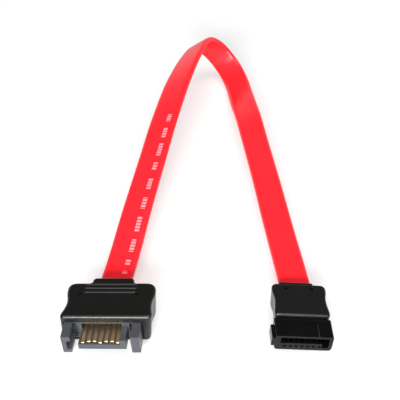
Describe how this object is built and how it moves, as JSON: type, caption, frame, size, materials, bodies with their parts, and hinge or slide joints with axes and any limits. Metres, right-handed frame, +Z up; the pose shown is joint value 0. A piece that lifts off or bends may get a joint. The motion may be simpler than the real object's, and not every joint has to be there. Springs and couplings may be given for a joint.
{
  "type": "data extension cable",
  "caption": "Short red ribbon cable with a guarded plug at one end and an L-slot receptacle at the other, lying in a loop, for extending a drive's serial data lead.",
  "frame": {"origin": "on the surface it lies on, midway between the outer ends of the two connectors taken together, without the ribbon", "axes": "+X from the plug towards the receptacle, +Y from the connectors' mating ends towards the ribbon's loop, +Z up"},
  "size_m": [0.059, 0.1157, 0.0167],
  "materials": {
    "ribbon": "red flexible vinyl, satin",
    "overmould": "near-black soft vinyl moulding, satin",
    "plug_housing": "blue-grey moulded nylon, lit grey at its edges",
    "receptacle_housing": "dark grey moulded nylon, soft sheen",
    "contact": "gold-flashed copper alloy",
    "drain_wire": "bare copper strand",
    "wire_insulation": "natural white insulation"
  },
  "bodies": {
    "root": {"ribbon_jacket": "ribbon", "plug_overmould": "overmould", "plug_housing": "plug_housing", "plug_contact_1": "contact", "plug_contact_2": "contact", "plug_contact_3": "contact", "plug_contact_4": "contact", "plug_contact_5": "contact", "plug_contact_6": "contact", "plug_contact_7": "contact", "plug_drain_wire_1": "drain_wire", "plug_signal_wire_2": "wire_insulation", "plug_signal_wire_3": "wire_insulation", "plug_drain_wire_4": "drain_wire", "plug_signal_wire_5": "wire_insulation", "plug_signal_wire_6": "wire_insulation", "plug_drain_wire_7": "drain_wire", "receptacle_overmould": "overmould", "receptacle_housing": "receptacle_housing", "receptacle_contact_1": "contact", "receptacle_contact_2": "contact", "receptacle_contact_3": "contact", "receptacle_contact_4": "contact", "receptacle_contact_5": "contact", "receptacle_contact_6": "contact", "receptacle_contact_7": "contact", "receptacle_drain_wire_1": "drain_wire", "receptacle_signal_wire_2": "wire_insulation", "receptacle_signal_wire_3": "wire_insulation", "receptacle_drain_wire_4": "drain_wire", "receptacle_signal_wire_5": "wire_insulation", "receptacle_signal_wire_6": "wire_insulation", "receptacle_drain_wire_7": "drain_wire"}
  },
  "joints": []
}
